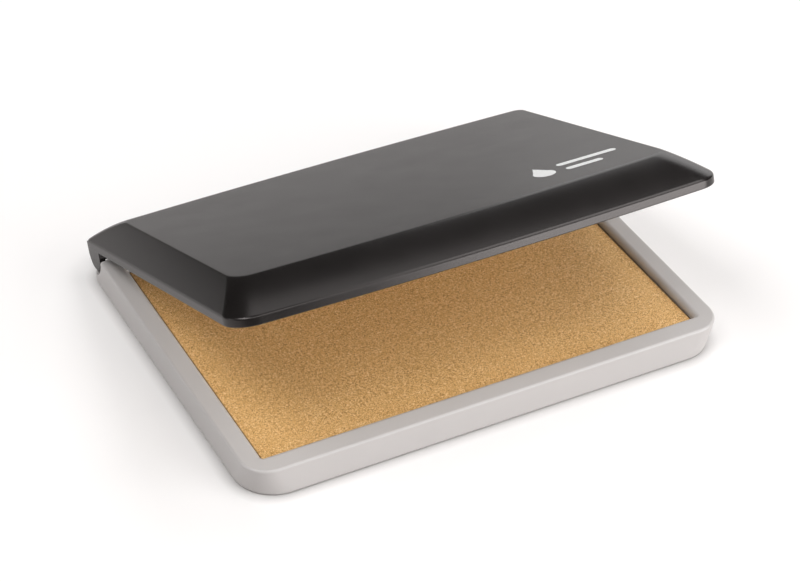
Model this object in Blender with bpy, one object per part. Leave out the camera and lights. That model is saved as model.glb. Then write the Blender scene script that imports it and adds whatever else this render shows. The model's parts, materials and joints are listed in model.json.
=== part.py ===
"""Hinged ink pad: a moulded base tray with an inked cloth pad, and a hollow lid on a rear hinge.

Frame: origin at the centre of the base's underside, +Z up, +X to the right, the lid opens from -Y.
Everything on the lid is modelled in the closed position and turned about the hinge axis afterwards.
"""

import math

import bmesh
import bpy
from mathutils import Matrix, Vector

MM = 0.001
GAP = 0.15 * MM  # between layers that rest on each other
BEYOND = 5.0 * MM  # how far a cutter runs past the surface it opens

# Base tray
BASE_HALF_X = 59.65 * MM
BASE_HALF_Y = 46.0 * MM
BASE_HEIGHT = 7.8 * MM
BASE_DRAFT = 0.15 * MM
BASE_FRONT_RADIUS = 6.5 * MM
BASE_FRONT_RADIUS_LOW = 9.5 * MM  # the front corners are rounder at the foot
BASE_REAR_RADIUS = 7.5 * MM
BASE_EDGE_RADIUS = 0.5 * MM
BASE_FOOT_RADIUS = 0.8 * MM
BASE_WALL = 1.7 * MM
FLOOR = 1.6 * MM
RIB = 1.2 * MM  # between the cells that hollow the rim from below
CELLS_ALONG = 8
CELLS_ACROSS = 5

# Pocket for the pad, nearer the front because the hinge takes the rear
PAD_HALF_X = 54.7 * MM
PAD_HALF_Y = 36.9 * MM
RIM_FRONT = 5.2 * MM
PAD_CENTRE_Y = -BASE_HALF_Y + RIM_FRONT + PAD_HALF_Y
POCKET_CORNER = 0.4 * MM
POCKET_FILLET = 1.3 * MM
POCKET_WALL = 1.2 * MM
PAD_BELOW_RIM = 1.1 * MM

# Pad stack, from the floor up: carrier, felt, fleece, and the cloth over them
PAD_TOP_Z = BASE_HEIGHT - PAD_BELOW_RIM
CLOTH_INSET = 0.2 * MM
CLOTH = 0.5 * MM
FLEECE = 0.5 * MM
CARRIER_FLOOR = 0.7 * MM
CARRIER_INSET = 1.1 * MM
CARRIER_WALL = 1.0 * MM
CARRIER_Z = FLOOR + GAP
FELT_Z = CARRIER_Z + CARRIER_FLOOR + GAP
FLEECE_TOP_Z = PAD_TOP_Z - CLOTH - GAP
FLEECE_Z = FLEECE_TOP_Z - FLEECE
FELT_TOP_Z = FLEECE_Z - GAP
HEM_Z = FLOOR + 0.6 * MM

# Hinge
HINGE_Y = 41.9 * MM
HINGE_Z = 6.5 * MM
REST_OPEN_DEG = 22.9
KNUCKLE_RADIUS = 3.5 * MM
SCOOP_RADIUS = 4.6 * MM
SHELF_TOP = 1.2 * MM
SHELF_START_Y = 37.2 * MM
SHELF_SIDE_WALL = 1.75 * MM
LUG_RADIUS = 2.7 * MM
LUG_INNER_X = 50.0 * MM
LUG_OUTER_X = 54.5 * MM
LUG_ROOT = 0.6 * MM  # how deep the lugs reach into the shelf and the wall before them
PIN_RADIUS = 1.5 * MM
PIN_CLEARANCE = 0.2 * MM
PIN_CHAMFER = 0.3 * MM
PIN_SIDES = 20

# Lid, closed: heights are above the rim
LID_HALF_X = 59.65 * MM
LID_FRONT_Y = -47.0 * MM
LID_REAR_Y = 45.7 * MM
LID_LIFT = 0.2 * MM
LID_SKIRT = 2.2 * MM
LID_TOP = 7.27 * MM
LID_BEVEL_X = 6.25 * MM
LID_BEVEL_FRONT = 11.9 * MM
LID_BEVEL_REAR = 12.2 * MM
LID_BULGE = 0.5 * MM  # the bevels are slightly convex
LID_SIDE_FLATNESS = 0.06  # how much straighter the side bevels run than the front and rear ones
LID_BOW = 1.6 * MM  # of the front edge; the crest above it bows a little less
LID_CREST_BOW = 1.4 * MM
LID_REAR_BOW = 1.2 * MM
LID_FRONT_RADIUS = 6.4 * MM
LID_REAR_RADIUS = 2.2 * MM
LID_TOP_RADIUS = 4.6 * MM
LID_WALL = 1.6 * MM
EAR_OUTER_X = 59.35 * MM
EAR_INNER_X = 57.9 * MM
BARREL_HALF_X = 49.2 * MM
BARREL_WALL = 1.3 * MM
BARREL_CURL_DEG = -110
LUG_RELIEF = (49.6 * MM, 58.0 * MM)
LUG_RELIEF_GAP = 0.4 * MM
SOCKET_GAP = 0.1 * MM
SOCKET_FLOOR = 0.6 * MM  # of the ear, left at the end of the pin's socket

# Sealing plate under the lid
PLATE_CLEARANCE = 0.6 * MM
PLATE_RIB = 1.2 * MM
PLATE_RIB_DEPTH = 0.6 * MM
PLATE_UNDERSIDE = 1.7 * MM
PLATE_THICKNESS = 1.2 * MM
STAKE_X = 40.0 * MM
STAKE_Y = 25.0 * MM
STAKE_RADIUS = 1.2 * MM

CORNER_STEPS = 6
EDGE_STEPS = 10


def clear_scene():
    for obj in list(bpy.data.objects):
        bpy.data.objects.remove(obj, do_unlink=True)


def principled(name, colour, roughness, metallic=0.0):
    material = bpy.data.materials.new(name)
    material.use_nodes = True
    shader = material.node_tree.nodes["Principled BSDF"]
    shader.inputs["Base Color"].default_value = (*colour, 1.0)
    shader.inputs["Roughness"].default_value = roughness
    shader.inputs["Metallic"].default_value = metallic
    return material


def object_from(name, mesh_builder, material=None, parent=None):
    """A bmesh made into an object. Under the hinge, the mesh is shifted so that its origin is on the axis."""
    if parent:
        bmesh.ops.translate(mesh_builder, vec=-parent.location, verts=mesh_builder.verts)
    bmesh.ops.recalc_face_normals(mesh_builder, faces=mesh_builder.faces)
    mesh = bpy.data.meshes.new(name)
    mesh_builder.to_mesh(mesh)
    mesh_builder.free()
    obj = bpy.data.objects.new(name, mesh)
    bpy.context.scene.collection.objects.link(obj)
    obj.parent = parent
    if material:
        mesh.materials.append(material)
        mesh.shade_smooth()
        mesh.set_sharp_from_angle(angle=math.radians(35))
    return obj


def outline(half_x, front_y, rear_y, front_radius, rear_radius, front_bow=0.0, rear_bow=0.0):
    """A rounded rectangle, anticlockwise, whose long edges may bow outwards."""
    points = []
    corners = (
        (half_x, front_y, front_radius, -90),
        (half_x, rear_y, rear_radius, 0),
        (-half_x, rear_y, rear_radius, 90),
        (-half_x, front_y, front_radius, 180),
    )
    for x, y, radius, start in corners:
        centre_x = x - math.copysign(radius, x)
        centre_y = y + radius if start in (-90, 180) else y - radius
        for step in range(CORNER_STEPS + 1):
            angle = math.radians(start + 90 * step / CORNER_STEPS)
            points.append((centre_x + radius * math.cos(angle), centre_y + radius * math.sin(angle)))
        if start == 0:
            points += bowed_edge(half_x - rear_radius, rear_y, rear_bow)
        if start == 180:
            points += bowed_edge(-(half_x - front_radius), front_y, -front_bow)
    return points


def bowed_edge(from_x, y, bow):
    """The points between the two ends of a long edge, from from_x to -from_x."""
    shares = [1 - 2 * step / EDGE_STEPS for step in range(1, EDGE_STEPS)]
    return [(from_x * share, y + bow * (1 - share * share)) for share in shares]


def loft(rings):
    """A closed solid through rings of equally many (x, y) points, each ring with its own height."""
    solid = bmesh.new()
    loops = [[solid.verts.new((x, y, z)) for x, y in points] for points, z in rings]
    count = len(loops[0])
    for lower, upper in zip(loops, loops[1:]):
        for i in range(count):
            j = (i + 1) % count
            solid.faces.new((lower[i], lower[j], upper[j], upper[i]))
    solid.faces.new(loops[0])
    solid.faces.new(loops[-1])
    return solid


def extrude_x(profile, low_x, high_x, solid=None):
    """A prism whose (y, z) profile runs from low_x to high_x."""
    solid = solid or bmesh.new()
    ends = [[solid.verts.new((x, y, z)) for y, z in profile] for x in (low_x, high_x)]
    count = len(profile)
    for i in range(count):
        j = (i + 1) % count
        solid.faces.new((ends[0][i], ends[0][j], ends[1][j], ends[1][i]))
    solid.faces.new(ends[0])
    solid.faces.new(ends[1])
    return solid


def add_box(solid, low, high):
    size = Vector(high) - Vector(low)
    centre = (Vector(high) + Vector(low)) / 2
    bmesh.ops.create_cube(solid, size=1.0, matrix=Matrix.Translation(centre) @ Matrix.Diagonal((*size, 1)))


def add_post(solid, x, y, low_z, high_z, radius, segments=16):
    place = Matrix.Translation((x, y, (low_z + high_z) / 2))
    bmesh.ops.create_cone(
        solid, cap_ends=True, segments=segments, radius1=radius, radius2=radius,
        depth=high_z - low_z, matrix=place,
    )


def arc(radius, start_deg, end_deg, steps, centre=(HINGE_Y, HINGE_Z)):
    """(y, z) points on a circle about the hinge axis, 0 degrees to the rear and 90 upwards."""
    angles = [math.radians(start_deg + (end_deg - start_deg) * i / steps) for i in range(steps + 1)]
    return [(centre[0] + radius * math.cos(a), centre[1] + radius * math.sin(a)) for a in angles]


def boolean(obj, name, solid, operation):
    """Cuts from obj, or joins to it, the bodies in solid, which stay in the scene as a hidden helper."""
    helper = object_from(f"{obj.name}_{name}", solid, parent=obj.parent)
    helper.hide_render = True
    helper.display_type = "WIRE"
    modifier = obj.modifiers.new(name, "BOOLEAN")
    modifier.operation = operation
    modifier.object = helper
    modifier.solver = "EXACT"


def base_outline(inset, front_radius=BASE_FRONT_RADIUS):
    return outline(
        BASE_HALF_X - inset, -BASE_HALF_Y + inset, BASE_HALF_Y - inset,
        front_radius - inset, BASE_REAR_RADIUS - inset,
    )


def pad_outline(inset, radius):
    """The pocket's outline, inset, with the given corner radius."""
    return outline(
        PAD_HALF_X - inset, PAD_CENTRE_Y - PAD_HALF_Y + inset, PAD_CENTRE_Y + PAD_HALF_Y - inset,
        radius, radius,
    )


def edge_rings(ring, radius, top_z, steps=3):
    """The rings that round a top edge, given ring(inset)."""
    rings = []
    for step in range(steps + 1):
        angle = math.radians(90 * step / steps)
        rings.append((ring(radius * (1 - math.cos(angle))), top_z - radius * (1 - math.sin(angle))))
    return rings


def pocket_cutter():
    """The pocket, whose rim rolls over in a wide fillet."""
    rings = [(pad_outline(0, POCKET_CORNER), FLOOR)]
    rings += edge_rings(
        lambda inset: pad_outline(-inset, POCKET_CORNER + inset), POCKET_FILLET, BASE_HEIGHT, 4
    )
    rings.append((pad_outline(-POCKET_FILLET, POCKET_CORNER + POCKET_FILLET), BASE_HEIGHT + BEYOND))
    return loft(rings)


def coring_cutter():
    """Cells that hollow the rim from below and leave cross ribs between them."""
    cells = bmesh.new()
    low_z, high_z = -BEYOND, BASE_HEIGHT - FLOOR

    def row(start, end, count, box):
        pitch = (end - start + RIB) / count
        for i in range(count):
            box(start + i * pitch, start + (i + 1) * pitch - RIB)

    def along(y_span):
        return lambda a, b: add_box(cells, (a, y_span[0], low_z), (b, y_span[1], high_z))

    def across(x_span):
        return lambda a, b: add_box(cells, (x_span[0], a, low_z), (x_span[1], b, high_z))

    front = (-BASE_HALF_Y + BASE_WALL, PAD_CENTRE_Y - PAD_HALF_Y - POCKET_WALL)
    rear = (PAD_CENTRE_Y + PAD_HALF_Y + POCKET_WALL, SHELF_START_Y - POCKET_WALL)
    front_end_x = BASE_HALF_X - BASE_FRONT_RADIUS
    row(-front_end_x, front_end_x, CELLS_ALONG, along(front))
    row(-PAD_HALF_X, PAD_HALF_X, CELLS_ALONG, along(rear))
    for sign in (-1, 1):
        side = sorted((sign * (PAD_HALF_X + POCKET_WALL), sign * (BASE_HALF_X - BASE_WALL)))
        row(-BASE_HALF_Y + BASE_FRONT_RADIUS, rear[0] - RIB, CELLS_ACROSS, across(side))
    return cells


def knuckle_scoop_cutter():
    """Clears the whole rear for the lid's knuckles: round at the front, open to the rear and above."""
    behind, above = BASE_HALF_Y + BEYOND, BASE_HEIGHT + BEYOND
    profile = arc(SCOOP_RADIUS, -90, -180, 8)
    profile += [(HINGE_Y - SCOOP_RADIUS, above), (behind, above), (behind, HINGE_Z - SCOOP_RADIUS)]
    return extrude_x(profile, -BASE_HALF_X - BEYOND, BASE_HALF_X + BEYOND)


def shelf_cutter():
    """Lowers the rear shelf inside its side walls."""
    ring = outline(
        BASE_HALF_X - SHELF_SIDE_WALL, SHELF_START_Y, BASE_HALF_Y + BEYOND,
        POCKET_CORNER, POCKET_CORNER,
    )
    return loft([(ring, SHELF_TOP), (ring, BASE_HEIGHT + BEYOND)])


def lugs():
    """Two eyes that hold the hinge pins. Their stems stay in front of the axis, clear of the lid's sweep."""
    foot_z, front_y = SHELF_TOP - LUG_ROOT, SHELF_START_Y - LUG_ROOT
    profile = arc(LUG_RADIUS, -70, 180, 18)
    profile += [(front_y, foot_z + LUG_RADIUS), (front_y, foot_z), (HINGE_Y - 0.3 * MM, foot_z)]
    profile += [(HINGE_Y - 0.3 * MM, HINGE_Z - LUG_RADIUS - 0.5 * MM)]
    return both_sides(profile, LUG_INNER_X, LUG_OUTER_X)


def both_sides(profile, inner_x, outer_x):
    """The same prism at both ends of the hinge."""
    solid = bmesh.new()
    for sign in (-1, 1):
        low, high = sorted((sign * inner_x, sign * outer_x))
        extrude_x(profile, low, high, solid)
    return solid


def pin_circle(radius):
    return arc(radius, 0, 360 - 360 / PIN_SIDES, PIN_SIDES - 1)


def base_rings():
    """The outer walls from the rounded foot to the rounded rim."""
    foot = edge_rings(
        lambda inset: base_outline(inset - BASE_DRAFT, BASE_FRONT_RADIUS_LOW), BASE_FOOT_RADIUS, 0.0
    )
    rings = [(points, -z) for points, z in reversed(foot)]
    return rings + edge_rings(base_outline, BASE_EDGE_RADIUS, BASE_HEIGHT)


def make_base_tray(material):
    tray = object_from("base_tray", loft(base_rings()), material)
    pin_hole = both_sides(
        pin_circle(PIN_RADIUS + PIN_CLEARANCE), LUG_INNER_X - BEYOND, LUG_OUTER_X + 0.5 * BEYOND
    )
    boolean(tray, "pocket", pocket_cutter(), "DIFFERENCE")
    boolean(tray, "scoop", knuckle_scoop_cutter(), "DIFFERENCE")
    boolean(tray, "shelf", shelf_cutter(), "DIFFERENCE")
    boolean(tray, "coring", coring_cutter(), "DIFFERENCE")
    boolean(tray, "lugs", lugs(), "UNION")
    boolean(tray, "pin_holes", pin_hole, "DIFFERENCE")
    return tray


def make_pad_carrier(material):
    inner = CARRIER_INSET + CARRIER_WALL
    rings = [
        (pad_outline(inner, 0.3 * MM), CARRIER_Z + CARRIER_FLOOR),
        (pad_outline(inner, 0.3 * MM), FLEECE_TOP_Z),
        (pad_outline(CARRIER_INSET, 0.6 * MM), FLEECE_TOP_Z),
        (pad_outline(CARRIER_INSET, 0.6 * MM), CARRIER_Z),
    ]
    return object_from("pad_carrier", loft(rings), material)


def make_layer(name, low_z, high_z, material):
    """A flat layer that fills the carrier."""
    inset = CARRIER_INSET + CARRIER_WALL + 2 * GAP
    rings = [(pad_outline(inset, MM), low_z)]
    rings += edge_rings(lambda more: pad_outline(inset + more, MM), 0.2 * MM, high_z, 1)
    return object_from(name, loft(rings), material)


def make_ink_cloth(material):
    """The cloth over the stack, with its edge tucked down between the carrier and the pocket's wall."""
    corner = 0.5 * MM
    inner = CARRIER_INSET - GAP
    rings = [
        (pad_outline(inner, corner), PAD_TOP_Z - CLOTH),
        (pad_outline(inner, corner), HEM_Z),
        (pad_outline(CLOTH_INSET, corner), HEM_Z),
    ]
    rings += edge_rings(lambda more: pad_outline(CLOTH_INSET + more, corner), 0.4 * MM, PAD_TOP_Z)
    return object_from("ink_cloth", loft(rings), material)


def lid_ring(slope, height, inset=0.0):
    """The lid's outline at a share of the bevel, from 0 at the skirt to 1 at the flat top."""
    front_radius = LID_FRONT_RADIUS + (LID_TOP_RADIUS - LID_FRONT_RADIUS) * slope
    side_slope = slope + 4 * LID_SIDE_FLATNESS * max(slope * (1 - slope), 0.0)
    points = outline(
        LID_HALF_X - LID_BEVEL_X * side_slope - inset,
        LID_FRONT_Y + LID_BEVEL_FRONT * slope + inset,
        LID_REAR_Y - LID_BEVEL_REAR * slope - inset,
        max(front_radius - inset, 0.5 * MM), LID_REAR_RADIUS,
        LID_BOW + (LID_CREST_BOW - LID_BOW) * slope, LID_REAR_BOW * slope,
    )
    return points, BASE_HEIGHT + height


def bevel_ring(slope):
    """A ring on the bevel, which rises evenly and swells a little in the middle."""
    rise = (LID_TOP - LID_SKIRT) * slope + 4 * LID_BULGE * slope * (1 - slope)
    return lid_ring(slope, LID_SKIRT + rise)


def make_lid_shell(material, hinge):
    rings = [
        lid_ring(1.0, LID_TOP - LID_WALL, 0.6 * MM),
        lid_ring(0.0, LID_SKIRT - 0.8 * MM, LID_WALL),
        lid_ring(0.0, LID_LIFT, LID_WALL),
        lid_ring(0.0, LID_LIFT),
        lid_ring(0.0, LID_SKIRT - 0.3 * MM),
        lid_ring(0.015, LID_SKIRT + 0.07 * MM),
    ]
    rings += [bevel_ring(slope) for slope in (0.05, 0.28, 0.5, 0.72, 0.95)]
    rings += [lid_ring(1.0, LID_TOP - 0.06 * MM), lid_ring(1.05, LID_TOP)]
    shell = object_from("lid_shell", loft(rings), material, hinge)
    relief = both_sides(pin_circle(LUG_RADIUS + LUG_RELIEF_GAP), *LUG_RELIEF)
    sockets = both_sides(pin_circle(PIN_RADIUS + SOCKET_GAP), LUG_OUTER_X, EAR_OUTER_X - SOCKET_FLOOR)
    boolean(shell, "stakes", stakes(), "UNION")
    boolean(shell, "lug_relief", relief, "DIFFERENCE")
    boolean(shell, "barrel", barrel(), "UNION")
    boolean(shell, "ears", ears(), "UNION")
    boolean(shell, "pin_sockets", sockets, "DIFFERENCE")
    return shell


def stake_places():
    for x in (-STAKE_X, 0.0, STAKE_X):
        for y in (PAD_CENTRE_Y - STAKE_Y, PAD_CENTRE_Y + STAKE_Y):
            yield x, y


def stakes():
    """Posts with melted heads that carry the sealing plate. Each is turned as one profile."""
    roof = BASE_HEIGHT + LID_TOP - 0.8 * MM
    shoulder = BASE_HEIGHT + PLATE_UNDERSIDE + PLATE_THICKNESS + GAP
    head = BASE_HEIGHT + PLATE_UNDERSIDE - GAP
    head_radius, post_radius = 2.1 * STAKE_RADIUS, 1.8 * STAKE_RADIUS
    profile = (
        (0.0, roof), (post_radius, roof), (post_radius, shoulder), (STAKE_RADIUS, shoulder),
        (STAKE_RADIUS, head), (head_radius, head), (head_radius, head - 0.3 * MM),
        (0.6 * head_radius, head - 0.6 * MM), (0.0, head - 0.6 * MM),
    )
    solid = bmesh.new()
    for x, y in stake_places():
        add_turned(solid, profile, x, y)
    return solid


def add_turned(solid, profile, x, y, segments=14):
    """A body turned about a vertical axis from an (r, z) profile that starts and ends on the axis."""
    loops = []
    angles = [2 * math.pi * i / segments for i in range(segments)]
    for radius, z in profile[1:-1]:
        circle = [(x + radius * math.cos(a), y + radius * math.sin(a), z) for a in angles]
        loops.append([solid.verts.new(point) for point in circle])
    for upper, lower in zip(loops, loops[1:]):
        for i in range(segments):
            j = (i + 1) % segments
            solid.faces.new((upper[i], upper[j], lower[j], lower[i]))
    solid.faces.new(loops[0])
    solid.faces.new(loops[-1])


def barrel():
    """The rear wall's lower edge, curled round the hinge axis between the lugs."""
    outer = LID_REAR_Y - 0.1 * MM - HINGE_Y
    inner = outer - BARREL_WALL
    join_z = BASE_HEIGHT + LID_LIFT + 0.8 * MM
    profile = [(HINGE_Y + outer, join_z)] + arc(outer, 0, BARREL_CURL_DEG, 10)
    profile += arc(inner, BARREL_CURL_DEG, 0, 8) + [(HINGE_Y + inner, join_z)]
    return extrude_x(profile, -BARREL_HALF_X, BARREL_HALF_X)


def ears():
    """The lid's side walls, carried down round the hinge axis at both ends."""
    join_z = BASE_HEIGHT + LID_SKIRT - 0.5 * MM
    rear, front = LID_REAR_Y - 0.1 * MM, HINGE_Y - KNUCKLE_RADIUS
    profile = [(rear, join_z), (front, join_z)] + arc(KNUCKLE_RADIUS, 180, 345, 14)
    return both_sides(profile + [(rear, HINGE_Z)], EAR_INNER_X, EAR_OUTER_X)


def make_sealing_plate(material, hinge):
    """A plate whose edge rib drops into the pocket when the lid is closed."""
    underside = BASE_HEIGHT + PLATE_UNDERSIDE
    top, rib_z = underside + PLATE_THICKNESS, BASE_HEIGHT - PLATE_RIB_DEPTH
    rings = [
        (pad_outline(PLATE_CLEARANCE + PLATE_RIB, 0.4 * MM), underside),
        (pad_outline(PLATE_CLEARANCE + PLATE_RIB, 0.4 * MM), rib_z),
        (pad_outline(PLATE_CLEARANCE + 0.4 * MM, 0.6 * MM), rib_z),
        (pad_outline(PLATE_CLEARANCE, 0.8 * MM), rib_z + 0.4 * MM),
        (pad_outline(PLATE_CLEARANCE, 0.8 * MM), top),
    ]
    plate = object_from("sealing_plate", loft(rings), material, hinge)
    holes = bmesh.new()
    for x, y in stake_places():
        add_post(holes, x, y, underside - MM, top + MM, STAKE_RADIUS + GAP)
    boolean(plate, "stake_holes", holes, "DIFFERENCE")
    return plate


def make_hinge_pin(name, sign, material, hinge):
    """A round pin from the ear's socket through the lug, with a chamfer at each end."""
    start, end = EAR_OUTER_X - SOCKET_FLOOR - 0.2 * MM, LUG_INNER_X - 0.3 * MM
    stations = (
        (start, PIN_RADIUS - PIN_CHAMFER), (start - PIN_CHAMFER, PIN_RADIUS),
        (end + PIN_CHAMFER, PIN_RADIUS), (end, PIN_RADIUS - PIN_CHAMFER),
    )
    solid = bmesh.new()
    loops = [[solid.verts.new((sign * x, y, z)) for y, z in pin_circle(radius)] for x, radius in stations]
    for first, second in zip(loops, loops[1:]):
        for i in range(PIN_SIDES):
            j = (i + 1) % PIN_SIDES
            solid.faces.new((first[i], first[j], second[j], second[i]))
    solid.faces.new(loops[0])
    solid.faces.new(loops[-1])
    return object_from(name, solid, material, hinge)


def make_hinge_axis():
    """Everything on the lid hangs from this empty, which turns it open about the hinge axis."""
    hinge = bpy.data.objects.new("lid_hinge_axis", None)
    bpy.context.scene.collection.objects.link(hinge)
    hinge.location = (0.0, HINGE_Y, HINGE_Z)
    hinge.rotation_euler = (-math.radians(REST_OPEN_DEG), 0.0, 0.0)
    return hinge


def main():
    clear_scene()
    grey = principled("warm_grey_plastic", (0.58, 0.56, 0.53), 0.42)
    black = principled("black_plastic", (0.035, 0.034, 0.034), 0.45)
    dark = principled("dark_carrier_plastic", (0.05, 0.05, 0.05), 0.5)
    pale = principled("natural_plastic", (0.75, 0.75, 0.72), 0.4)
    felt = principled("ink_felt", (0.35, 0.22, 0.08), 0.95)
    fleece = principled("wick_fleece", (0.5, 0.35, 0.15), 0.95)
    cloth = principled("gold_ink_cloth", (0.55, 0.34, 0.13), 0.6, 0.35)
    make_base_tray(grey)
    make_pad_carrier(dark)
    make_layer("ink_felt", FELT_Z, FELT_TOP_Z, felt)
    make_layer("wick_fleece", FLEECE_Z, FLEECE_TOP_Z, fleece)
    make_ink_cloth(cloth)
    hinge = make_hinge_axis()
    make_lid_shell(black, hinge)
    make_sealing_plate(pale, hinge)
    make_hinge_pin("hinge_pin_left", -1, black, hinge)
    make_hinge_pin("hinge_pin_right", 1, black, hinge)


main()
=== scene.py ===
"""Looks of the hinged ink pad: finely rounded mouldings, a stretched gold cloth, a printed mark and a studio."""

import json
import math

import bmesh
import bpy
from mathutils import Matrix, Vector, noise

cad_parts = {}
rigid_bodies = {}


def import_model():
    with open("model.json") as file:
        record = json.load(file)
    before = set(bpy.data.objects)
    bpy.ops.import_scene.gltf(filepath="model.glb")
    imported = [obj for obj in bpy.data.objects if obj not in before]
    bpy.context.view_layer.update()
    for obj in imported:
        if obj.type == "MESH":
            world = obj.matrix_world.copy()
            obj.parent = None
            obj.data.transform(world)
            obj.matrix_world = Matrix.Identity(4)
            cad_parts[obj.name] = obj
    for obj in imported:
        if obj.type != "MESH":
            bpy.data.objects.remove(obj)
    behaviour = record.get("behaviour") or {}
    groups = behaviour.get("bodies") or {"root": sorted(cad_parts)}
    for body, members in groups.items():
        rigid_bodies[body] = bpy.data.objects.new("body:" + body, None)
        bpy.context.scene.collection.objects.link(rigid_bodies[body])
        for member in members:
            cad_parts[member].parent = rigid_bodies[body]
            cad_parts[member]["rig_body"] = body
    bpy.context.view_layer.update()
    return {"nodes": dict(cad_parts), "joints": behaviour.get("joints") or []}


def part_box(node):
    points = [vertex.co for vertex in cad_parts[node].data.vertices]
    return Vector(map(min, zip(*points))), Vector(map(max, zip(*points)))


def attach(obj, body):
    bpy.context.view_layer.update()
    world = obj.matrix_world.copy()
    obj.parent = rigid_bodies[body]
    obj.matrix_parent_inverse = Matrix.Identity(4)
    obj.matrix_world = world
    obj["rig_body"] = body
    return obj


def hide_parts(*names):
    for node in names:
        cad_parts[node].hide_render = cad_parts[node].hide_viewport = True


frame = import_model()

MM = 0.001
HINGE = frame["joints"][0]
HINGE_PLACE = Vector(HINGE["pos_m"])
CLOSED_ANGLE = math.radians(-HINGE["range_deg"][0])  # how far open the lid stands at rest
BASE_BODY, LID_BODY = HINGE["parent"], HINGE["child"]
TO_OPEN = (
    Matrix.Translation(HINGE_PLACE)
    @ Matrix.Rotation(-CLOSED_ANGLE, 4, "X")
    @ Matrix.Translation(-HINGE_PLACE)
)
TO_CLOSED = TO_OPEN.inverted()


def closed_box(node):
    """Lowest and highest corner of a lid node with the lid shut."""
    points = [TO_CLOSED @ v.co for v in frame["nodes"][node].data.vertices]
    return (
        Vector([min(p[i] for p in points) for i in range(3)]),
        Vector([max(p[i] for p in points) for i in range(3)]),
    )


# ---------------------------------------------------------------- driving sizes
_, BASE_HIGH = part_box("base_tray")
PAD_LOW, PAD_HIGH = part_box("ink_cloth")
LID_LOW, LID_HIGH = closed_box("lid_shell")
PLATE_LOW, PLATE_HIGH = closed_box("sealing_plate")

BASE_DRAFT = 0.15 * MM
BASE_HALF_X = BASE_HIGH.x - BASE_DRAFT
BASE_HALF_Y = BASE_HIGH.y
RIM_Z = 7.8 * MM
BASE_FRONT_RADIUS = 6.5 * MM
BASE_FRONT_RADIUS_LOW = 9.5 * MM
BASE_REAR_RADIUS = 7.5 * MM
RIM_EDGE_RADIUS = 0.62 * MM
FOOT_EDGE_RADIUS = 0.8 * MM
BASE_WALL = 1.7 * MM
FLOOR = 1.6 * MM

CLOTH_MARGIN = 0.2 * MM
PAD_HALF_X = PAD_HIGH.x + CLOTH_MARGIN
PAD_HALF_Y = (PAD_HIGH.y - PAD_LOW.y) / 2 + CLOTH_MARGIN
PAD_CENTRE_Y = (PAD_HIGH.y + PAD_LOW.y) / 2
CLOTH_HALF_X, CLOTH_HALF_Y = PAD_HALF_X - CLOTH_MARGIN, PAD_HALF_Y - CLOTH_MARGIN
POCKET_FILLET = 1.3 * MM
POCKET_CORNER = 0.4 * MM
POCKET_WALL = 1.2 * MM

HINGE_Y, HINGE_Z = HINGE_PLACE.y, HINGE_PLACE.z
KNUCKLE_RADIUS = 3.5 * MM
SCOOP_RADIUS = 4.6 * MM
SHELF_TOP = 1.2 * MM
SHELF_START_Y = 37.2 * MM
SHELF_SIDE_WALL = 1.75 * MM
LUG_RADIUS = 2.7 * MM
LUG_X = (50.0 * MM, 54.5 * MM)
PIN_RADIUS = 1.5 * MM

LID_HALF_X = LID_HIGH.x
LID_BOW = 1.6 * MM
LID_CREST_BOW = 1.4 * MM
LID_REAR_BOW = 1.2 * MM
LID_FRONT_Y = LID_LOW.y + LID_BOW
LID_REAR_Y = LID_HIGH.y
LID_SKIRT_LOW = 0.2 * MM
LID_SKIRT_HIGH = 2.2 * MM
LID_TOP = LID_HIGH.z - RIM_Z
LID_BEVEL_X = 6.25 * MM
LID_BEVEL_FRONT = 11.9 * MM
LID_BEVEL_REAR = 12.2 * MM
LID_BULGE = 0.5 * MM
LID_SIDE_FLATNESS = 0.06  # how much straighter the side bevels run than the front and rear ones
LID_LOW_ROLL = 0.22 * MM
LID_ROLL_DROP = 0.40 * MM  # how far down the skirt the roll into the bevel starts
LID_ROLL_SLOPE = 0.045  # share of the bevel at which that roll ends
LID_FRONT_RADIUS = 6.4 * MM
LID_REAR_RADIUS = 2.2 * MM
LID_TOP_RADIUS = 4.6 * MM
LID_WALL = 1.6 * MM
LID_CREST_BLEND = 0.06  # share of the bevel over which the flat top rolls into it
EAR_X = (57.9 * MM, 59.35 * MM)
BARREL_HALF_X = 49.2 * MM

STAKE_RADIUS = 1.2 * MM
STAKE_PLACES = [(x, PAD_CENTRE_Y + y) for x in (-40.0 * MM, 0.0, 40.0 * MM) for y in (-25.0 * MM, 25.0 * MM)]
PLATE_RIB = 1.2 * MM
PLATE_FIELD = 1.2 * MM  # thickness inside the rib

CORNER_STEPS = 14
EDGE_STEPS = 24
SMOOTH_DEG = 32  # edges that turn more than this stay sharp


# ---------------------------------------------------------------- mesh helpers
def finish_mesh(name, builder, material, body, smooth_deg=SMOOTH_DEG):
    """A bmesh made into a piece that rides on a body. Lid pieces are built shut and turned open here."""
    if body == LID_BODY:
        bmesh.ops.transform(builder, matrix=TO_OPEN, verts=builder.verts)
    bmesh.ops.recalc_face_normals(builder, faces=builder.faces)
    mesh = bpy.data.meshes.new(name)
    builder.to_mesh(mesh)
    builder.free()
    obj = bpy.data.objects.new(name, mesh)
    bpy.context.scene.collection.objects.link(obj)
    mesh.materials.append(material)
    smooth(obj, smooth_deg)
    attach(obj, body)
    return obj


def smooth(obj, degrees=SMOOTH_DEG):
    obj.data.shade_smooth()
    obj.data.set_sharp_from_angle(angle=math.radians(degrees))


def weighted(obj):
    modifier = obj.modifiers.new("weighted_normals", "WEIGHTED_NORMAL")
    modifier.keep_sharp = True
    modifier.weight = 80


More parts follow.
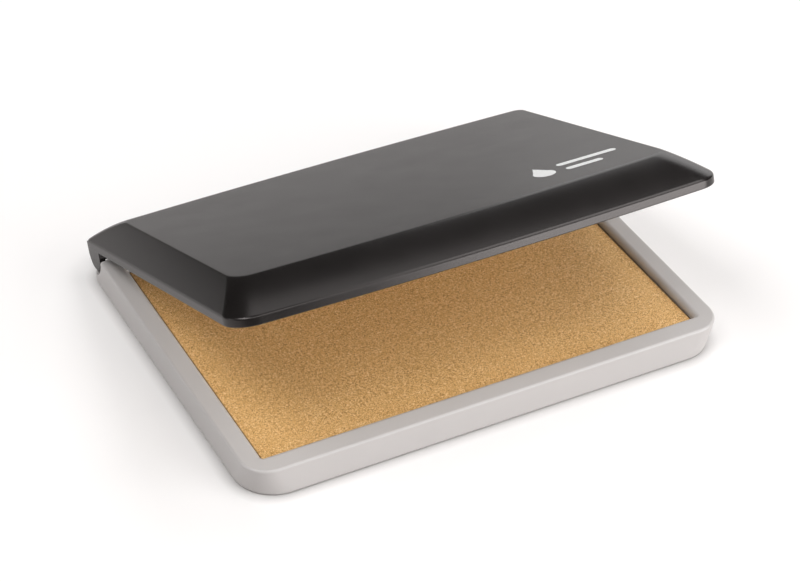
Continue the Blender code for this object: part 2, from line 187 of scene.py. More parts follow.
def carve(obj, steps):
    """Cuts and joins bodies in order, then keeps the result as the object's own mesh."""
    on_lid = obj["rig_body"] == LID_BODY
    for operation, solid in steps:
        if on_lid:
            bmesh.ops.transform(solid, matrix=TO_OPEN, verts=solid.verts)
        bmesh.ops.recalc_face_normals(solid, faces=solid.faces)
        mesh = bpy.data.meshes.new("tool")
        solid.to_mesh(mesh)
        solid.free()
        tool = bpy.data.objects.new("tool", mesh)
        bpy.context.scene.collection.objects.link(tool)
        modifier = obj.modifiers.new("carve", "BOOLEAN")
        modifier.operation = operation
        modifier.object = tool
        modifier.solver = "EXACT"
        graph = bpy.context.evaluated_depsgraph_get()
        made = bpy.data.meshes.new_from_object(obj.evaluated_get(graph))
        obj.modifiers.clear()
        obj.data = made
        bpy.data.objects.remove(tool)
    smooth(obj)


def outline(half_x, front_y, rear_y, front_radius, rear_radius, front_bow=0.0, rear_bow=0.0):
    """A rounded rectangle, anticlockwise, whose long edges may bow outwards."""
    points = []
    corners = (
        (half_x, front_y, front_radius, -90),
        (half_x, rear_y, rear_radius, 0),
        (-half_x, rear_y, rear_radius, 90),
        (-half_x, front_y, front_radius, 180),
    )
    for x, y, radius, start in corners:
        centre_x = x - math.copysign(radius, x)
        centre_y = y + radius if start in (-90, 180) else y - radius
        for step in range(CORNER_STEPS + 1):
            angle = math.radians(start + 90 * step / CORNER_STEPS)
            points.append((centre_x + radius * math.cos(angle), centre_y + radius * math.sin(angle)))
        if start == 0:
            points += bowed_edge(half_x - rear_radius, rear_y, rear_bow)
        if start == 180:
            points += bowed_edge(-(half_x - front_radius), front_y, -front_bow)
    return points


def bowed_edge(from_x, y, bow):
    shares = [1 - 2 * step / EDGE_STEPS for step in range(1, EDGE_STEPS)]
    return [(from_x * share, y + bow * (1 - share * share)) for share in shares]


def loft(rings):
    """A closed solid through rings of equally many (x, y) points, each with its own height."""
    solid = bmesh.new()
    loops = [[solid.verts.new((x, y, z)) for x, y in points] for points, z in rings]
    count = len(loops[0])
    for lower, upper in zip(loops, loops[1:]):
        for i in range(count):
            j = (i + 1) % count
            solid.faces.new((lower[i], lower[j], upper[j], upper[i]))
    solid.faces.new(loops[0])
    solid.faces.new(loops[-1])
    return solid


def extrude_x(profile, low_x, high_x, solid=None):
    solid = solid or bmesh.new()
    ends = [[solid.verts.new((x, y, z)) for y, z in profile] for x in (low_x, high_x)]
    count = len(profile)
    for i in range(count):
        j = (i + 1) % count
        solid.faces.new((ends[0][i], ends[0][j], ends[1][j], ends[1][i]))
    solid.faces.new(ends[0])
    solid.faces.new(ends[1])
    return solid


def both_sides(profile, inner_x, outer_x):
    solid = bmesh.new()
    for sign in (-1, 1):
        low, high = sorted((sign * inner_x, sign * outer_x))
        extrude_x(profile, low, high, solid)
    return solid


def turned(stations, place, steps=40, solid=None):
    """A body turned about its own Z axis from (radius, height) stations, capped and placed."""
    solid = solid or bmesh.new()
    angles = [2 * math.pi * i / steps for i in range(steps)]
    loops = []
    for radius, height in stations:
        ring = [Vector((radius * math.cos(a), radius * math.sin(a), height)) for a in angles]
        loops.append([solid.verts.new(place @ point) for point in ring])
    for first, second in zip(loops, loops[1:]):
        for i in range(steps):
            j = (i + 1) % steps
            solid.faces.new((first[i], first[j], second[j], second[i]))
    solid.faces.new(loops[0])
    solid.faces.new(loops[-1])
    return solid


def add_box(solid, low, high):
    size = Vector(high) - Vector(low)
    centre = (Vector(high) + Vector(low)) / 2
    bmesh.ops.create_cube(solid, size=1.0, matrix=Matrix.Translation(centre) @ Matrix.Diagonal((*size, 1)))


def arc(radius, start_deg, end_deg, steps):
    """(y, z) points about the hinge axis, 0 degrees to the rear and 90 upwards."""
    angles = [math.radians(start_deg + (end_deg - start_deg) * i / steps) for i in range(steps + 1)]
    return [(HINGE_Y + radius * math.cos(a), HINGE_Z + radius * math.sin(a)) for a in angles]


def rounded_edge(ring, radius, edge_z, upwards=1, steps=6):
    """Rings that roll an edge over, from the wall to the flat, given ring(inset)."""
    rings = []
    for step in range(steps + 1):
        angle = math.radians(90 * step / steps)
        drop = radius * (1 - math.sin(angle))
        rings.append((ring(radius * (1 - math.cos(angle))), edge_z - upwards * drop))
    return rings


# ---------------------------------------------------------------- node materials
class Nodes:
    """Short names for building one material's node tree."""

    def __init__(self, name, colour, roughness, metallic=0.0, **constants):
        self.material = bpy.data.materials.new(name)
        self.material.use_nodes = True
        self.tree = self.material.node_tree
        self.shader = self.tree.nodes["Principled BSDF"]
        self.shader.inputs["Base Color"].default_value = (*colour, 1.0)
        self.shader.inputs["Roughness"].default_value = roughness
        self.shader.inputs["Metallic"].default_value = metallic
        for key, value in constants.items():
            self.shader.inputs[key.replace("_", " ")].default_value = value
        self.place = self.tree.nodes.new("ShaderNodeTexCoord").outputs["Object"]

    def add(self, kind, **settings):
        node = self.tree.nodes.new(kind)
        for key, value in settings.items():
            if key in node.inputs:
                node.inputs[key].default_value = value
            else:
                setattr(node, key, value)
        return node

    def link(self, start, end):
        self.tree.links.new(start, end)

    def noise(self, size, detail=2.0, roughness=0.5, stretch=None):
        """Noise whose blobs measure about size metres."""
        node = self.add("ShaderNodeTexNoise", Scale=1.0 / size, Detail=detail, Roughness=roughness)
        self.link(self.stretched(stretch), node.inputs["Vector"])
        return node.outputs["Fac"]

    def cells(self, size, randomness=1.0):
        node = self.add("ShaderNodeTexVoronoi", Scale=1.0 / size, Randomness=randomness)
        self.link(self.place, node.inputs["Vector"])
        return node.outputs["Distance"]

    def stretched(self, stretch):
        if stretch is None:
            return self.place
        node = self.add("ShaderNodeMapping", Scale=stretch)
        self.link(self.place, node.inputs["Vector"])
        return node.outputs["Vector"]

    def span(self, value, low, high, to_low, to_high):
        node = self.add("ShaderNodeMapRange")
        self.link(value, node.inputs["Value"])
        for key, number in zip(("From Min", "From Max", "To Min", "To Max"), (low, high, to_low, to_high)):
            node.inputs[key].default_value = number
        return node.outputs["Result"]

    def maths(self, operation, first, second):
        node = self.add("ShaderNodeMath", operation=operation)
        for socket, value in zip(node.inputs, (first, second)):
            if isinstance(value, (int, float)):
                socket.default_value = value
            else:
                self.link(value, socket)
        return node.outputs["Value"]

    def blend(self, share, first, second):
        """A colour between two colours, either of which may be another node's output."""
        node = self.add("ShaderNodeMix", data_type="RGBA")
        self.link(share, node.inputs[0])
        for socket, value in ((node.inputs[6], first), (node.inputs[7], second)):
            if isinstance(value, tuple):
                socket.default_value = (*value, 1.0)
            else:
                self.link(value, socket)
        return node.outputs[2]

    def colour(self, output):
        self.link(output, self.shader.inputs["Base Color"])

    def rough(self, output):
        self.link(output, self.shader.inputs["Roughness"])

    def bump(self, height, distance, strength=1.0):
        node = self.add("ShaderNodeBump", Strength=strength, Distance=distance)
        self.link(height, node.inputs["Height"])
        self.link(node.outputs["Normal"], self.shader.inputs["Normal"])


def moulded(name, colour, shade, roughness, grain, grain_height, wander=0.05, **constants):
    """Moulded plastic: faint clouding, spark-eroded grain, and roughness that varies a little."""
    made = Nodes(name, colour, roughness, **constants)
    cloud = made.noise(9 * MM, 3.0)
    fine = made.noise(grain, 2.0)
    tone = made.maths("ADD", made.maths("MULTIPLY", cloud, 0.6), made.maths("MULTIPLY", fine, 0.4))
    darker = tuple(c * (1 - shade) for c in colour)
    lighter = tuple(min(1.0, c * (1 + shade)) for c in colour)
    made.colour(made.blend(made.span(tone, 0.3, 0.7, 0.0, 1.0), darker, lighter))
    made.rough(made.span(tone, 0.3, 0.7, roughness - wander, roughness + wander))
    made.bump(made.maths("ADD", fine, made.maths("MULTIPLY", made.cells(grain * 1.7), 0.5)), grain_height)
    return made.material


def warm_grey_plastic():
    return moulded("warm_grey_plastic", (0.545, 0.518, 0.506), 0.02, 0.33, 0.28 * MM, 0.004 * MM)


def black_plastic():
    return moulded(
        "black_plastic", (0.011, 0.0095, 0.009), 0.25, 0.25, 0.30 * MM, 0.004 * MM, wander=0.02,
        Specular_Tint=(1.0, 0.92, 0.90, 1.0),
    )


def dark_carrier_plastic():
    return moulded("dark_carrier_plastic", (0.04, 0.04, 0.04), 0.08, 0.5, 0.3 * MM, 0.006 * MM)


def natural_plastic():
    return moulded("natural_plastic", (0.72, 0.72, 0.69), 0.025, 0.34, 0.5 * MM, 0.003 * MM)


def gold_ink_cloth():
    """Fine cloth inked in metallic gold: bright and dark flecks over a fine weave, with painted shade darkening
    its edges where they dip into the gap beside the pocket wall.
    """
    made = Nodes("gold_ink_cloth", (0.72, 0.405, 0.135), 0.55, metallic=0.1)
    made.shader.inputs["Sheen Weight"].default_value = 0.15
    made.shader.inputs["Sheen Roughness"].default_value = 0.5
    fleck = made.noise(0.25 * MM, 2.0, 0.6)
    worm = made.noise(0.6 * MM, 1.5, 0.6)
    patch = made.noise(14 * MM, 2.0)
    grain = made.maths("ADD", made.maths("MULTIPLY", fleck, 0.75), made.maths("MULTIPLY", worm, 0.25))
    base = made.blend(made.span(patch, 0.3, 0.7, 0.0, 1.0), (0.75, 0.425, 0.136), (0.805, 0.46, 0.154))
    dark = made.blend(made.span(grain, 0.36, 0.5, 1.0, 0.0), base, (0.36, 0.17, 0.04))
    flecked = made.blend(made.span(grain, 0.52, 0.64, 0.0, 1.0), dark, (1.0, 0.74, 0.40))
    # Painted shade: the cloth's colour turns near black towards its edges, standing in for the shadow in the gap
    # beside the pocket wall.
    gap_shade = made.span(edge_nearness(made), -0.5 * MM, -0.15 * MM, 0.0, 0.9)
    made.colour(made.blend(gap_shade, flecked, (0.05, 0.025, 0.008)))
    made.rough(made.span(grain, 0.4, 0.62, 0.68, 0.42))
    weave = made.maths("MULTIPLY", wave(made, 0.36 * MM, "X"), wave(made, 0.36 * MM, "Y"))
    made.bump(made.maths("ADD", grain, made.maths("MULTIPLY", weave, 0.35)), 0.05 * MM)
    return made.material


def edge_nearness(made):
    """Distance in metres past the nearest edge of the cloth: negative on the pad, zero at its sides."""
    split = made.add("ShaderNodeSeparateXYZ")
    made.link(made.place, split.inputs["Vector"])
    from_centre_x = made.maths("ABSOLUTE", split.outputs["X"], 0.0)
    from_centre_y = made.maths("ABSOLUTE", made.maths("SUBTRACT", split.outputs["Y"], PAD_CENTRE_Y), 0.0)
    across = made.maths("SUBTRACT", from_centre_x, CLOTH_HALF_X)
    along = made.maths("SUBTRACT", from_centre_y, CLOTH_HALF_Y)
    return made.maths("MAXIMUM", across, along)


def wave(made, pitch, direction):
    node = made.add("ShaderNodeTexWave", bands_direction=direction, wave_profile="SIN")
    node.inputs["Scale"].default_value = 1.0 / pitch / 20 * 2 * math.pi
    node.inputs["Distortion"].default_value = 1.5
    node.inputs["Detail"].default_value = 1.0
    made.link(made.place, node.inputs["Vector"])
    return node.outputs["Fac"]


def felt_material(name, colour, size):
    """Pressed fibres: streaky colour and a soft, uneven surface."""
    made = Nodes(name, colour, 0.95)
    made.shader.inputs["Sheen Weight"].default_value = 0.3
    fibres = made.noise(size, 4.0, 0.7, stretch=(1.0, 0.35, 1.0))
    cross = made.noise(size, 4.0, 0.7, stretch=(0.35, 1.0, 1.0))
    both = made.maths("MAXIMUM", fibres, cross)
    dark = tuple(c * 0.6 for c in colour)
    light = tuple(min(1.0, c * 1.35) for c in colour)
    made.colour(made.blend(made.span(both, 0.4, 0.7, 0.0, 1.0), dark, light))
    made.bump(both, 0.08 * MM)
    return made.material


def print_white():
    made = Nodes("print_white", (0.86, 0.86, 0.85), 0.5)
    speck = made.noise(0.25 * MM, 2.0)
    share = made.span(speck, 0.35, 0.65, 0.0, 1.0)
    made.colour(made.blend(share, (0.80, 0.80, 0.79), (0.9, 0.9, 0.89)))
    made.rough(made.span(speck, 0.35, 0.65, 0.45, 0.6))
    made.bump(speck, 0.004 * MM)
    return made.material


# ---------------------------------------------------------------- base tray
def base_outline(inset, front_radius=BASE_FRONT_RADIUS):
    return outline(
        BASE_HALF_X - inset, -BASE_HALF_Y + inset, BASE_HALF_Y - inset,
        front_radius - inset, BASE_REAR_RADIUS - inset,
    )


def pad_outline(inset, radius=POCKET_CORNER):
    return outline(
        PAD_HALF_X - inset, PAD_CENTRE_Y - PAD_HALF_Y + inset, PAD_CENTRE_Y + PAD_HALF_Y - inset,
        radius, radius,
    )


def base_rings():
    """The outer walls from the rounded foot to the rounded rim, with corners that tighten on the way up."""
    def foot_ring(inset):
        return base_outline(inset - BASE_DRAFT, BASE_FRONT_RADIUS_LOW)

    def rim_ring(inset):
        return base_outline(inset)

    foot = rounded_edge(foot_ring, FOOT_EDGE_RADIUS, 0.0, upwards=-1)[::-1]
    walls = []
    low, high = FOOT_EDGE_RADIUS, RIM_Z - RIM_EDGE_RADIUS
    for step in range(1, 6):
        share = step / 6
        radius = BASE_FRONT_RADIUS_LOW + (BASE_FRONT_RADIUS - BASE_FRONT_RADIUS_LOW) * share
        walls.append((base_outline(-BASE_DRAFT * (1 - share), radius), low + (high - low) * share))
    return foot + walls + rounded_edge(rim_ring, RIM_EDGE_RADIUS, RIM_Z)


def pocket():
    """The pad's pocket, with its wide rolled edge at the rim."""
    def edge_ring(inset):
        return pad_outline(-inset, POCKET_CORNER + inset)

    rings = [(pad_outline(0), FLOOR)]
    rings += rounded_edge(edge_ring, POCKET_FILLET, RIM_Z, steps=10)
    rings.append((pad_outline(-POCKET_FILLET, POCKET_CORNER + POCKET_FILLET), RIM_Z + MM))
    return loft(rings)


def scoop():
    """Clears the rear for the knuckles: round at the front, open to the rear and above."""
    behind, above = BASE_HALF_Y + 5 * MM, RIM_Z + 5 * MM
    profile = arc(SCOOP_RADIUS, -90, -180, 20)
    profile += [(HINGE_Y - SCOOP_RADIUS, above), (behind, above), (behind, HINGE_Z - SCOOP_RADIUS)]
    return extrude_x(profile, -70 * MM, 70 * MM)


def shelf():
    ring = outline(BASE_HALF_X - SHELF_SIDE_WALL, SHELF_START_Y, BASE_HALF_Y + 5 * MM, 0.4 * MM, 0.4 * MM)
    return loft([(ring, SHELF_TOP), (ring, RIM_Z + 5 * MM)])


def coring():
    """Cells that hollow the rim from below and leave cross ribs between them."""
    cells = bmesh.new()
    rib, low_z, high_z = 1.2 * MM, -MM, RIM_Z - FLOOR

    def row(start, end, count, box):
        pitch = (end - start + rib) / count
        for i in range(count):
            box(start + i * pitch, start + (i + 1) * pitch - rib)

    front = (-BASE_HALF_Y + BASE_WALL, PAD_CENTRE_Y - PAD_HALF_Y - POCKET_WALL)
    rear = (PAD_CENTRE_Y + PAD_HALF_Y + POCKET_WALL, SHELF_START_Y - POCKET_WALL)
    side = (PAD_HALF_X + POCKET_WALL, BASE_HALF_X - BASE_WALL)
    front_end = BASE_HALF_X - BASE_FRONT_RADIUS
    row(-front_end, front_end, 8, lambda a, b: add_box(cells, (a, front[0], low_z), (b, front[1], high_z)))
    row(-PAD_HALF_X, PAD_HALF_X, 8, lambda a, b: add_box(cells, (a, rear[0], low_z), (b, rear[1], high_z)))
    for sign in (-1, 1):
        xs = sorted(sign * x for x in side)
        row(-BASE_HALF_Y + BASE_FRONT_RADIUS, rear[0] - rib, 5,
            lambda a, b, xs=xs: add_box(cells, (xs[0], a, low_z), (xs[1], b, high_z)))
    return cells


def lugs():
    foot_z, front_y, back_y = SHELF_TOP - 0.6 * MM, SHELF_START_Y - 0.6 * MM, HINGE_Y - 0.3 * MM
    profile = arc(LUG_RADIUS, -70, 180, 44)
    profile += [(front_y, foot_z + LUG_RADIUS), (front_y, foot_z), (back_y, foot_z)]
    profile.append((back_y, HINGE_Z - LUG_RADIUS - 0.5 * MM))
    return both_sides(profile, *LUG_X)


def ejector_marks():
    """Shallow round marks that a mould's ejector pins leave on the underside."""
    solid = bmesh.new()
    depth, radius = 0.15 * MM, 3.0 * MM
    places = [(x, y) for x in (-44 * MM, 0.0, 44 * MM) for y in (-34 * MM, 20 * MM)]
    for x, y in places:
        turned([(radius, -MM), (radius, depth)], Matrix.Translation((x, y, 0)), 48, solid)
    return solid


def make_base(material):
    tray = finish_mesh("tray", loft(base_rings()), material, BASE_BODY)
    carve(tray, [
        ("DIFFERENCE", pocket()),
        ("DIFFERENCE", scoop()),
        ("DIFFERENCE", shelf()),
        ("DIFFERENCE", coring()),
        ("DIFFERENCE", ejector_marks()),
        ("UNION", lugs()),
        ("DIFFERENCE", both_sides(arc(PIN_RADIUS + 0.2 * MM, 0, 350, 35), 45 * MM, 58 * MM)),
    ])
    weighted(tray)
    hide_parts("base_tray")


# ---------------------------------------------------------------- pad
def cloth_height(x, y):
    """The stretched cloth: a slight crown, edges rolled down into the pocket, and faint unevenness."""
    across = abs(x) / CLOTH_HALF_X
    along = abs(y - PAD_CENTRE_Y) / CLOTH_HALF_Y
    edge = max(across ** 24, along ** 18)
    wander = noise.fractal(Vector((x, y, 0)) / (16 * MM), 0.8, 2.0, 3) * 0.05 * MM
    fibre = noise.noise(Vector((x, y, 3.0)) / (0.9 * MM)) * 0.018 * MM
    return PAD_HIGH.z - 0.10 * MM - 0.55 * MM * edge + (wander + fibre) * (1 - edge)


def make_cloth(material):
    """A fine grid over the pad, with its skirt tucked into the gap beside the carrier."""
    spacing = 0.6 * MM
    columns, rows = round(2 * CLOTH_HALF_X / spacing), round(2 * CLOTH_HALF_Y / spacing)
    xs = [-CLOTH_HALF_X + 2 * CLOTH_HALF_X * i / columns for i in range(columns + 1)]
    ys = [PAD_CENTRE_Y - CLOTH_HALF_Y + 2 * CLOTH_HALF_Y * j / rows for j in range(rows + 1)]
    solid = bmesh.new()
    grid = [[solid.verts.new((x, y, cloth_height(x, y))) for x in xs] for y in ys]
    for j in range(rows):
        for i in range(columns):
            solid.faces.new((grid[j][i], grid[j][i + 1], grid[j + 1][i + 1], grid[j + 1][i]))
    rim = grid[0][:-1] + [line[-1] for line in grid[:-1]]
    rim += grid[-1][:0:-1] + [line[0] for line in grid[:0:-1]]
    skirt(solid, rim)
    cloth = finish_mesh("gold_cloth", solid, material, BASE_BODY, 60)
    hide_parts("ink_cloth")


def skirt(solid, rim):
    """Hangs the cloth's edge down to its hem, and closes the cloth below as a thin shell."""
    thickness = 0.45 * MM

    def ring(inset, z):
        limit_x, limit_y = CLOTH_HALF_X - inset, CLOTH_HALF_Y - inset
        made = []
        for v in rim:
            x = max(-limit_x, min(limit_x, v.co.x))
            y = PAD_CENTRE_Y + max(-limit_y, min(limit_y, v.co.y - PAD_CENTRE_Y))
            made.append(solid.verts.new((x, y, z)))
        return made

    hem = PAD_LOW.z
    loops = [rim, ring(0.0, hem), ring(thickness, hem), ring(thickness, PAD_HIGH.z - 2 * thickness)]
    count = len(rim)
    for first, second in zip(loops, loops[1:]):
        for i in range(count):
            j = (i + 1) % count
            solid.faces.new((first[j], first[i], second[i], second[j]))
    solid.faces.new(loops[-1])


def make_inner_layers(carrier_material, felt, fleece):
    """The sealed inner pieces keep their CAD shapes and get their own finishes."""
    for node, material in (("pad_carrier", carrier_material), ("ink_felt", felt), ("wick_fleece", fleece)):
        obj = frame["nodes"][node]
        obj.data.materials.clear()
        obj.data.materials.append(material)


# ---------------------------------------------------------------- lid
def lid_ring(slope, height, inset=0.0):
    """The lid's outline at a share of the bevel, from 0 at the skirt to 1 at the flat top."""
    front_radius = LID_FRONT_RADIUS + (LID_TOP_RADIUS - LID_FRONT_RADIUS) * slope
    side_slope = slope + 4 * LID_SIDE_FLATNESS * max(slope * (1 - slope), 0.0)
    points = outline(
        LID_HALF_X - LID_BEVEL_X * side_slope - inset,
        LID_FRONT_Y + LID_BEVEL_FRONT * slope + inset,
        LID_REAR_Y - LID_BEVEL_REAR * slope - inset,
        max(front_radius - inset, 0.5 * MM), LID_REAR_RADIUS,
        LID_BOW + (LID_CREST_BOW - LID_BOW) * slope, LID_REAR_BOW * slope,
    )
    return points, RIM_Z + height


def bevel_height(slope):
    """The bevel rises evenly and swells a little in the middle."""
    return LID_SKIRT_HIGH + (LID_TOP - LID_SKIRT_HIGH) * slope + 4 * LID_BULGE * slope * (1 - slope)


def lid_outer_rings():
    """Skirt, a rolled edge, the slightly convex bevel, and the crest that rolls into the flat top."""
    rings = []
    for step in range(1, 6):
        angle = math.radians(90 * step / 5)
        lift, inset = LID_LOW_ROLL * (1 - math.cos(angle)), LID_LOW_ROLL * (1 - math.sin(angle))
        rings.append(lid_ring(0.0, LID_SKIRT_LOW + lift, inset))
    steps = 8
    lift = bevel_height(LID_ROLL_SLOPE) - LID_SKIRT_HIGH
    for step in range(steps + 1):
        t = step / steps
        height = LID_SKIRT_HIGH - LID_ROLL_DROP * (1 - t) ** 2 + lift * t * t
        rings.append(lid_ring(LID_ROLL_SLOPE * t * t, height))
    crest_start = 1.0 - LID_CREST_BLEND
    steps = 16
    for step in range(1, steps):
        slope = LID_ROLL_SLOPE + (crest_start - LID_ROLL_SLOPE) * step / steps
        rings.append(lid_ring(slope, bevel_height(slope)))
    steps = 8
    start = bevel_height(crest_start)
    for step in range(steps + 1):
        t = step / steps
        height = start + (LID_TOP - start) * t * (2 - t)
        rings.append(lid_ring(crest_start + 2 * LID_CREST_BLEND * t, height))
    return rings


def stakes():
    """Posts with melted heads that carry the sealing plate."""
    roof = RIM_Z + LID_TOP - 0.8 * MM
    shoulder = PLATE_HIGH.z + 0.15 * MM
    head = PLATE_HIGH.z - 1.35 * MM
    wide, post = 2.1 * STAKE_RADIUS, 1.8 * STAKE_RADIUS
    stations = [(post, roof), (post, shoulder), (STAKE_RADIUS, shoulder), (STAKE_RADIUS, head), (wide, head)]
    for angle in (0, 0.4, 0.8, 1.2, 1.45):
        stations.append((wide * math.cos(angle), head - 0.2 * MM - 0.4 * MM * math.sin(angle)))
    solid = bmesh.new()
    for x, y in STAKE_PLACES:
        turned(stations, Matrix.Translation((x, y, 0)), 32, solid)
    return solid


def barrel():
    outer = LID_REAR_Y - 0.1 * MM - HINGE_Y
    inner = outer - 1.3 * MM
    join_z = RIM_Z + LID_SKIRT_LOW + 0.8 * MM
    profile = [(HINGE_Y + outer, join_z)] + arc(outer, 0, -110, 30)
    profile += arc(inner, -110, 0, 24) + [(HINGE_Y + inner, join_z)]
    return extrude_x(profile, -BARREL_HALF_X, BARREL_HALF_X)


def ears():
    join_z = RIM_Z + LID_SKIRT_HIGH - 0.5 * MM
    rear, front = LID_REAR_Y - 0.1 * MM, HINGE_Y - KNUCKLE_RADIUS
    profile = [(rear, join_z), (front, join_z)] + arc(KNUCKLE_RADIUS, 180, 347, 40) + [(rear, HINGE_Z)]
    return both_sides(profile, *EAR_X)


def make_lid(material):
    rings = [
        lid_ring(1.0, LID_TOP - LID_WALL, 0.6 * MM),
        lid_ring(0.0, LID_SKIRT_HIGH - 0.8 * MM, LID_WALL),
        lid_ring(0.0, LID_SKIRT_LOW, LID_WALL),
        lid_ring(0.0, LID_SKIRT_LOW, LID_LOW_ROLL),
    ]
    shell = finish_mesh("lid", loft(rings + lid_outer_rings()), material, LID_BODY)
    carve(shell, [
        ("UNION", stakes()),
        ("DIFFERENCE", both_sides(arc(LUG_RADIUS + 0.4 * MM, 0, 350, 35), 49.6 * MM, EAR_X[0] - 0.2 * MM)),
        ("UNION", barrel()),
        ("UNION", ears()),
        ("DIFFERENCE", both_sides(arc(PIN_RADIUS + 0.1 * MM, 0, 350, 35), 55 * MM, EAR_X[1] - 0.6 * MM)),
    ])
    weighted(shell)
    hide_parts("lid_shell")


def make_plate(material):
    """The sealing plate, with rounded rib edges and a shallow step round its field."""
    gap = PAD_HALF_X - PLATE_HIGH.x
    low, high = PLATE_LOW.z, PLATE_HIGH.z
    under = high - PLATE_FIELD
    step = 0.25 * MM
    rings = [
        (pad_outline(gap + PLATE_RIB + 4 * MM, MM), under + step),
        (pad_outline(gap + PLATE_RIB + 3.6 * MM, MM), under),
        (pad_outline(gap + PLATE_RIB + 0.5 * MM, 0.6 * MM), under),
        (pad_outline(gap + PLATE_RIB + 0.15 * MM, 0.5 * MM), under - 0.15 * MM),
        (pad_outline(gap + PLATE_RIB, 0.5 * MM), under - 0.5 * MM),
        (pad_outline(gap + PLATE_RIB, 0.5 * MM), low + 0.3 * MM),
    ]
    middle = PLATE_RIB / 2
    for i in range(1, 8):
        angle = math.pi * i / 8
        shift = middle * math.cos(angle)
        rings.append((pad_outline(gap + middle + shift, 0.6 * MM), low + 0.3 * MM * (1 - math.sin(angle))))
    rings += [(pad_outline(gap, 0.8 * MM), low + 0.3 * MM), (pad_outline(gap, 0.8 * MM), high - 0.2 * MM)]
    rings.append((pad_outline(gap + 0.2 * MM, 0.8 * MM), high))
    plate = finish_mesh("seal_plate", loft(rings), material, LID_BODY)
    holes = bmesh.new()
    radius = STAKE_RADIUS + 0.15 * MM
    for x, y in STAKE_PLACES:
        turned([(radius, under - MM), (radius, high + MM)], Matrix.Translation((x, y, 0)), 32, holes)
    carve(plate, [("DIFFERENCE", holes)])
    weighted(plate)
    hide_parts("sealing_plate")


def make_pins(material):
    """Round pins with chamfered ends."""
    for side, sign in (("left", -1), ("right", 1)):
        node = f"hinge_pin_{side}"
        low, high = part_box(node)
        ends = sorted((sign * low.x, sign * high.x))
        stations = [
            (PIN_RADIUS - 0.3 * MM, ends[0]), (PIN_RADIUS - 0.08 * MM, ends[0] + 0.12 * MM),
            (PIN_RADIUS, ends[0] + 0.3 * MM), (PIN_RADIUS, ends[1] - 0.3 * MM),
            (PIN_RADIUS - 0.08 * MM, ends[1] - 0.12 * MM), (PIN_RADIUS - 0.3 * MM, ends[1]),
        ]
        turn = Matrix.Rotation(math.radians(90 * sign), 4, "Y")
        place = Matrix.Translation((0, HINGE_Y, HINGE_Z)) @ turn
        pin = finish_mesh(f"pin_{side}", turned(stations, place), material, LID_BODY)
        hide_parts(node)


def make_mark(material):
    """A generic printed mark, an ink drop beside plain bars, a hair above the lid's flat top."""
    face_z = RIM_Z + LID_TOP + 0.01 * MM
    thick = 0.03 * MM
    solid = bmesh.new()

    def plate(points):
        rings = [[solid.verts.new((x, y, z)) for x, y in points] for z in (face_z, face_z + thick)]
        count = len(points)
        for i in range(count):
            j = (i + 1) % count
            solid.faces.new((rings[0][i], rings[0][j], rings[1][j], rings[1][i]))
        solid.faces.new(rings[0])
        solid.faces.new(rings[1])

    def bar(x, y, length, width):
        radius = width / 2
        points = []
        for centre, start in ((x + length - radius, -90), (x + radius, 90)):
            for step in range(9):
                angle = math.radians(start + 180 * step / 8)
                points.append((centre + radius * math.cos(angle), y + radius * math.sin(angle)))
        plate(points)

    def drop(x, y, size):
        points = []
        for step in range(33):
            angle = math.radians(-225 + 270 * step / 32)
            points.append((x + size * math.cos(angle), y + size * math.sin(angle)))
        points.append((x, y + size * 2.1))
        plate(points)

    drop(27.0 * MM, -25.0 * MM, 2.6 * MM)
    bar(32.0 * MM, -21.8 * MM, 15.5 * MM, 1.9 * MM)
    bar(32.0 * MM, -26.2 * MM, 9.5 * MM, 1.9 * MM)
    mark = finish_mesh("lid_mark", solid, material, LID_BODY)


# ---------------------------------------------------------------- studio
CAMERA_PLACE = Vector((-0.2143, -0.3874, 0.3517))
CAMERA_AZIMUTH, CAMERA_ELEVATION, CAMERA_ROLL = -26.66, 38.15, 0.33
CAMERA_LENS = 108.5
CAMERA_SHIFT = (0.0958, 0.0025)
BOX_DISTANCE, BOX_SIZE = 1.1, (0.75, 0.42)
PAPER, SHADED_PAPER = (0.815, 0.79, 0.78), (0.66, 0.64, 0.63)
PAPER_SIZE = 6.0
CONTACT_SHADOW = 3 * MM  # how far the soft shadow beside the foot reaches
ROOM_LIGHT = 0.02


def make_camera():
    data = bpy.data.cameras.new("camera")
    data.sensor_width = 36.0
    data.lens = CAMERA_LENS
    data.shift_x, data.shift_y = CAMERA_SHIFT
    data.clip_start, data.clip_end = 0.01, 20.0
    camera = bpy.data.objects.new("camera", data)
    bpy.context.scene.collection.objects.link(camera)
    azimuth, elevation = math.radians(CAMERA_AZIMUTH), math.radians(CAMERA_ELEVATION)
    flat = math.cos(elevation)
    back = Vector((math.sin(azimuth) * flat, -math.cos(azimuth) * flat, math.sin(elevation)))
    turn = back.to_track_quat("Z", "Y").to_matrix().to_4x4()
    roll = Matrix.Rotation(math.radians(CAMERA_ROLL), 4, "Z")
    camera.matrix_world = Matrix.Translation(CAMERA_PLACE) @ turn @ roll
    bpy.context.scene.camera = camera


def add_softbox(name, elevation_deg, azimuth_deg, power):
    """A light box at a place round the object, turned to face it."""
    elevation, azimuth = math.radians(elevation_deg), math.radians(azimuth_deg)
    flat = BOX_DISTANCE * math.cos(elevation)
    place = Vector((flat * math.sin(azimuth), -flat * math.cos(azimuth), BOX_DISTANCE * math.sin(elevation)))
    data = bpy.data.lights.new(name, "AREA")
    data.shape = "RECTANGLE"
    data.size, data.size_y = BOX_SIZE
    data.energy = power
    light = bpy.data.objects.new(name, data)
    bpy.context.scene.collection.objects.link(light)
    turn = (Vector((0, 0, 0.01)) - place).to_track_quat("-Z", "Y").to_matrix().to_4x4()
    light.matrix_world = Matrix.Translation(place) @ turn


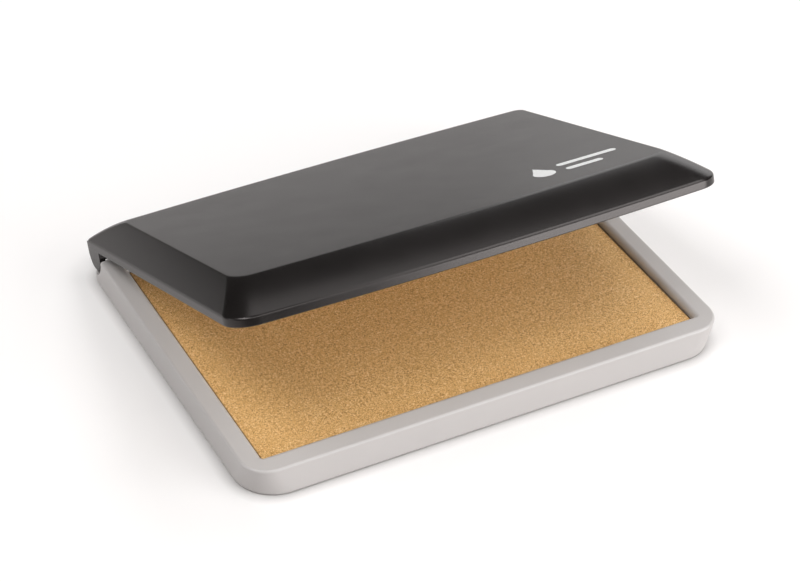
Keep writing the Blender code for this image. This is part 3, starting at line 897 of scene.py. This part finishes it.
def make_floor():
    """White paper with a lift that only the camera sees, and a soft shadow where the object stands."""
    mesh = bpy.data.meshes.new("floor")
    half = PAPER_SIZE / 2
    corners = [(-half, -half, 0), (half, -half, 0), (half, half, 0), (-half, half, 0)]
    mesh.from_pydata(corners, [], [(0, 1, 2, 3)])
    floor = bpy.data.objects.new("floor", mesh)
    bpy.context.scene.collection.objects.link(floor)
    floor.location.z = -0.05 * MM
    paper = Nodes("floor_paper", PAPER, 0.9, Emission_Color=(1.0, 1.0, 1.0, 1.0))
    split = paper.add("ShaderNodeSeparateXYZ")
    paper.link(paper.place, split.inputs["Vector"])
    lift = paper.span(split.outputs["Y"], -0.15, 0.35, 0.13, 0.30)
    nearness = paper.add("ShaderNodeAmbientOcclusion", Distance=CONTACT_SHADOW)
    open_air = paper.span(nearness.outputs["AO"], 0.5, 1.0, 0.0, 1.0)
    paper.colour(paper.blend(open_air, SHADED_PAPER, PAPER))
    sight = paper.add("ShaderNodeLightPath")
    clear_lift = paper.maths("MULTIPLY", lift, open_air)
    seen = paper.maths("MULTIPLY", clear_lift, sight.outputs["Is Camera Ray"])
    paper.link(seen, paper.shader.inputs["Emission Strength"])
    mesh.materials.append(paper.material)


def make_world():
    """A dark studio round the light boxes. The camera itself sees plain pale paper."""
    world = bpy.data.worlds.new("studio")
    bpy.context.scene.world = world
    world.use_nodes = True
    tree = world.node_tree
    background = tree.nodes["Background"]
    sight = tree.nodes.new("ShaderNodeLightPath")
    shown = tree.nodes.new("ShaderNodeMix")
    tree.links.new(sight.outputs["Is Camera Ray"], shown.inputs[0])
    shown.inputs[2].default_value = ROOM_LIGHT
    shown.inputs[3].default_value = 1.0
    tree.links.new(shown.outputs[0], background.inputs["Strength"])
    background.inputs["Color"].default_value = (1.0, 1.0, 1.0, 1.0)


def make_studio():
    bpy.context.scene.view_settings.view_transform = "Standard"
    make_world()
    boxes = (  # name, elevation, azimuth from the front towards the right, watts
        ("right_low", 10, 39, 6.6),
        ("right_mid", 31, 37, 3.0),
        ("right_high", 60, 90, 3.0),
        ("left_high", 60, 270, 5.4),
        ("left_low", 15, 255, 1.2),
        ("front_left", 48, 300, 0.6),
        ("front_high", 62, 0, 2.6),
        ("rear_right", 12, 135, 1.4),
        ("rear_high", 60, 150, 1.2),
    )
    for name, elevation, azimuth, power in boxes:
        add_softbox(name, elevation, azimuth, power)
    make_floor()


# ---------------------------------------------------------------- make everything
make_camera()
make_studio()
BLACK = black_plastic()
make_base(warm_grey_plastic())
make_cloth(gold_ink_cloth())
make_inner_layers(
    dark_carrier_plastic(),
    felt_material("ink_felt", (0.35, 0.22, 0.08), 0.8 * MM),
    felt_material("wick_fleece", (0.5, 0.35, 0.15), 0.6 * MM),
)
make_lid(BLACK)
make_plate(natural_plastic())
make_pins(BLACK)
make_mark(print_white())
